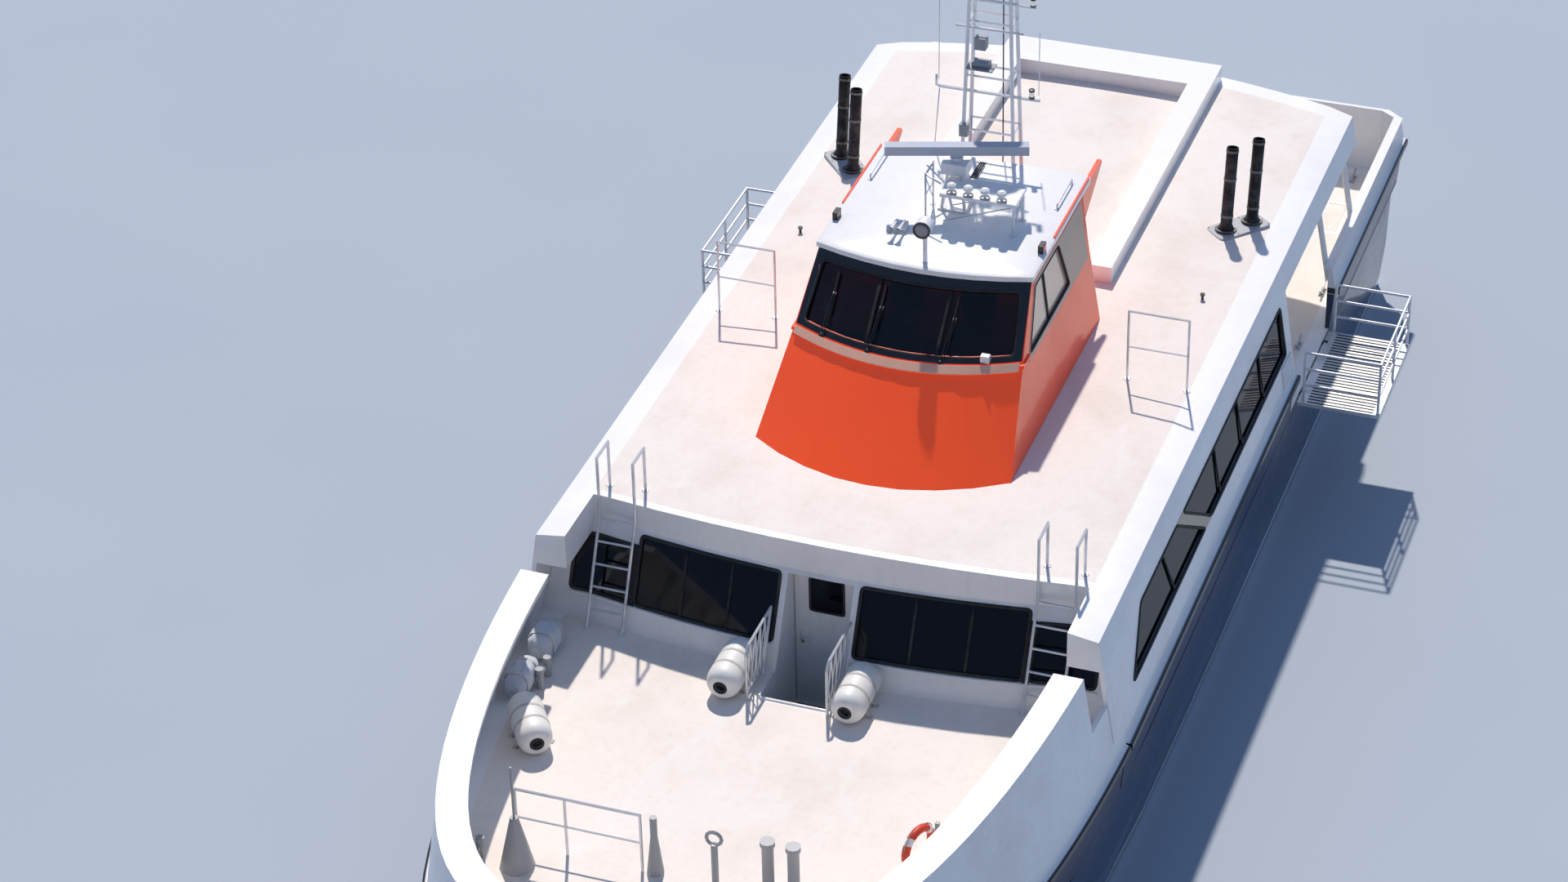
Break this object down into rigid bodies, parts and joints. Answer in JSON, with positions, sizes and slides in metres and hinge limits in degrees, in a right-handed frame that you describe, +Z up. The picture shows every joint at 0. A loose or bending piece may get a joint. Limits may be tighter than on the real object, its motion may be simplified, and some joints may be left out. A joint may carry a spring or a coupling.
{
  "type": "passenger ferry",
  "caption": "Fast passenger catamaran with an enclosed cabin, a roof-top wheelhouse, a bulwarked foredeck and boarding ramps at the sides.",
  "frame": {"origin": "amidships on the centreline, at the waterline", "axes": "+X forward to the bow, +Y to port, +Z up"},
  "size_m": [23.7, 10.3, 10.85],
  "materials": {
    "white_paint": "gloss",
    "deck_paint": "matte non-slip",
    "navy_paint": "gloss",
    "orange_paint": "gloss",
    "tinted_glass": "dark tinted",
    "aluminium": "satin",
    "exhaust_black": "matte heat-resistant",
    "helm_trim": "matte",
    "seat_fabric": "woven",
    "fender_vinyl": "satin",
    "ring_red": "satin",
    "engine_block": "painted"
  },
  "bodies": {
    "vessel": {"hull_port": "navy_paint", "hull_starboard": "navy_paint", "engine_port": "engine_block", "engine_starboard": "engine_block", "bridge_structure": "navy_paint", "main_deck": "deck_paint", "foredeck": "white_paint", "bulwark_port": "white_paint", "bulwark_starboard": "white_paint", "cabin_side_port": "white_paint", "cabin_side_starboard": "white_paint", "side_glass_port": "tinted_glass", "side_glass_starboard": "tinted_glass", "cabin_front": "white_paint", "front_glass_port": "tinted_glass", "front_glass_starboard": "tinted_glass", "cabin_aft": "white_paint", "cabin_roof": "deck_paint", "roof_coaming": "white_paint", "exhaust_inner_port": "exhaust_black", "exhaust_inner_starboard": "exhaust_black", "exhaust_outer_port": "exhaust_black", "exhaust_outer_starboard": "exhaust_black", "wheelhouse": "orange_paint", "windscreen": "tinted_glass", "wheelhouse_glass_port": "tinted_glass", "wheelhouse_glass_starboard": "tinted_glass", "wheelhouse_roof": "white_paint", "helm": "helm_trim", "seats_port": "seat_fabric", "seats_starboard": "seat_fabric", "mast": "white_paint", "radar_pedestal": "white_paint", "ladder_port": "aluminium", "ladder_starboard": "aluminium", "roof_rail_port": "aluminium", "roof_rail_starboard": "aluminium", "stair_guard_port": "aluminium", "stair_guard_starboard": "aluminium", "fender_stair_port": "fender_vinyl", "fender_stair_starboard": "fender_vinyl", "fender_bow": "fender_vinyl", "foredeck_rail": "aluminium", "windlass": "aluminium", "life_ring": "ring_red", "aft_bulwark_port": "white_paint", "aft_bulwark_starboard": "white_paint"},
    "nozzle_port": {"jet_nozzle_port": "aluminium"},
    "bucket_port": {"reverse_bucket_port": "aluminium"},
    "hatch_port": {"engine_hatch_port": "deck_paint"},
    "ramp_port": {"boarding_ramp_port": "aluminium"},
    "nozzle_starboard": {"jet_nozzle_starboard": "aluminium"},
    "bucket_starboard": {"reverse_bucket_starboard": "aluminium"},
    "hatch_starboard": {"engine_hatch_starboard": "deck_paint"},
    "ramp_starboard": {"boarding_ramp_starboard": "aluminium"},
    "front_door_leaf": {"front_door": "white_paint"},
    "aft_door_leaf": {"aft_door": "white_paint"},
    "wheelhouse_door_leaf": {"wheelhouse_door": "orange_paint"},
    "bow_gate_leaf": {"bow_gate": "white_paint"},
    "scanner": {"radar_scanner": "white_paint"}
  },
  "joints": [
    {"name": "nozzle_steer_port", "type": "hinge", "parent": "vessel", "child": "nozzle_port", "pos_m": [-11.4, 2.95, -0.08], "axis": [0, 0, 1], "range_deg": [-27, 27]},
    {"name": "bucket_reverse_port", "type": "hinge", "parent": "nozzle_port", "child": "bucket_port", "pos_m": [-11.52, 2.95, -0.08], "axis": [0, -1, 0], "range_deg": [0, 55]},
    {"name": "hatch_lift_port", "type": "hinge", "parent": "vessel", "child": "hatch_port", "pos_m": [-9.6475, 2.95, 1.752], "axis": [0, 1, 0], "range_deg": [0, 85]},
    {"name": "ramp_fold_port", "type": "hinge", "parent": "vessel", "child": "ramp_port", "pos_m": [-5.9, 3.975, 1.72], "axis": [1, 0, 0], "range_deg": [0, 90]},
    {"name": "nozzle_steer_starboard", "type": "hinge", "parent": "vessel", "child": "nozzle_starboard", "pos_m": [-11.4, -2.95, -0.08], "axis": [0, 0, 1], "range_deg": [-27, 27]},
    {"name": "bucket_reverse_starboard", "type": "hinge", "parent": "nozzle_starboard", "child": "bucket_starboard", "pos_m": [-11.52, -2.95, -0.08], "axis": [0, -1, 0], "range_deg": [0, 55]},
    {"name": "hatch_lift_starboard", "type": "hinge", "parent": "vessel", "child": "hatch_starboard", "pos_m": [-9.6475, -2.95, 1.752], "axis": [0, 1, 0], "range_deg": [0, 85]},
    {"name": "ramp_fold_starboard", "type": "hinge", "parent": "vessel", "child": "ramp_starboard", "pos_m": [-5.9, -3.975, 1.72], "axis": [-1, 0, 0], "range_deg": [0, 90]},
    {"name": "front_door_swing", "type": "hinge", "parent": "vessel", "child": "front_door_leaf", "pos_m": [3.808, 0.318, 2.8], "axis": [0, 0, -1], "range_deg": [0, 95]},
    {"name": "aft_door_swing", "type": "hinge", "parent": "vessel", "child": "aft_door_leaf", "pos_m": [-4.65, 0.43, 2.8], "axis": [0, 0, -1], "range_deg": [0, 110]},
    {"name": "wheelhouse_door_swing", "type": "hinge", "parent": "vessel", "child": "wheelhouse_door_leaf", "pos_m": [-2.225, 1.262, 5.3], "axis": [0, 0, -1], "range_deg": [0, 95]},
    {"name": "bow_gate_swing", "type": "hinge", "parent": "vessel", "child": "bow_gate_leaf", "pos_m": [11.585, -0.632, 3.2], "axis": [0, 0, 1], "range_deg": [0, 100]},
    {"name": "scanner_turn", "type": "hinge", "parent": "vessel", "child": "scanner", "pos_m": [-1.21, 0, 7.15], "axis": [0, 0, 1], "continuous": true}
  ],
  "couplings": [
    {"joint": "nozzle_steer_starboard", "follows": "nozzle_steer_port", "ratio": 1},
    {"joint": "bucket_reverse_starboard", "follows": "bucket_reverse_port", "ratio": 1}
  ]
}
